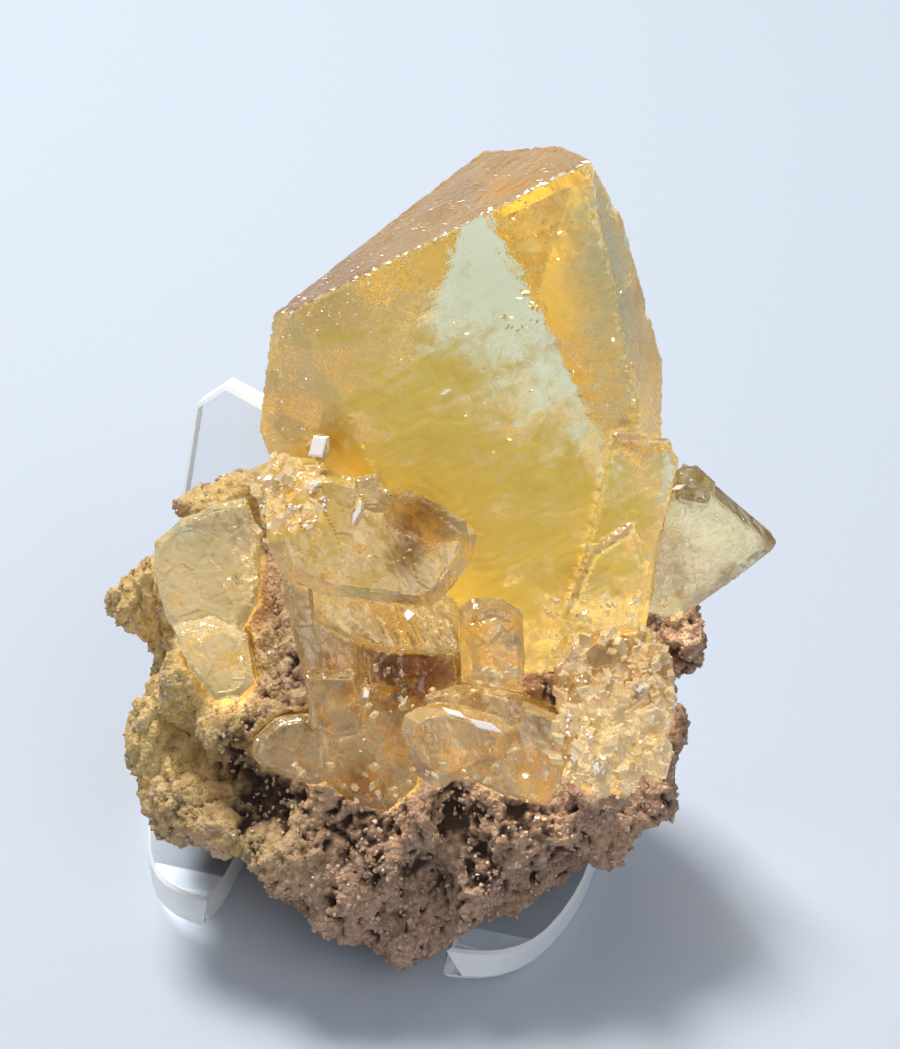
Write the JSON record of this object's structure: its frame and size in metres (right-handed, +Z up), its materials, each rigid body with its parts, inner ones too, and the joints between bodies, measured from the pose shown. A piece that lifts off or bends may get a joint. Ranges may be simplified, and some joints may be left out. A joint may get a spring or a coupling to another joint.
{
  "type": "barite mineral specimen",
  "caption": "Golden barite crystal cluster on porous matrix, resting in a clear bent acrylic easel stand.",
  "frame": {"origin": "middle of the acrylic stand's flat underside, on the surface it stands on", "axes": "+Z up, -Y towards the specimen's display front, +X to the right as seen from the front; the stand itself is turned 15 degrees about Z"},
  "size_m": [0.0671, 0.0548, 0.0763],
  "materials": {
    "matrix_rock": "rough porous pinkish-brown rock",
    "golden_barite": "translucent golden crystal, glassy faces",
    "amber_barite": "translucent amber crystal, glassy faces",
    "pale_barite": "translucent pale yellow crystal, waxy to glassy faces",
    "clear_acrylic": "clear polished acrylic sheet"
  },
  "bodies": {
    "root": {"matrix": "matrix_rock", "barite_main": "golden_barite", "barite_front_blades": "golden_barite", "barite_right_wedge": "amber_barite", "barite_left": "pale_barite", "barite_stub": "amber_barite", "barite_lower_left": "amber_barite", "barite_lower_right": "amber_barite", "barite_druse": "pale_barite", "acrylic_stand": "clear_acrylic"}
  },
  "joints": []
}
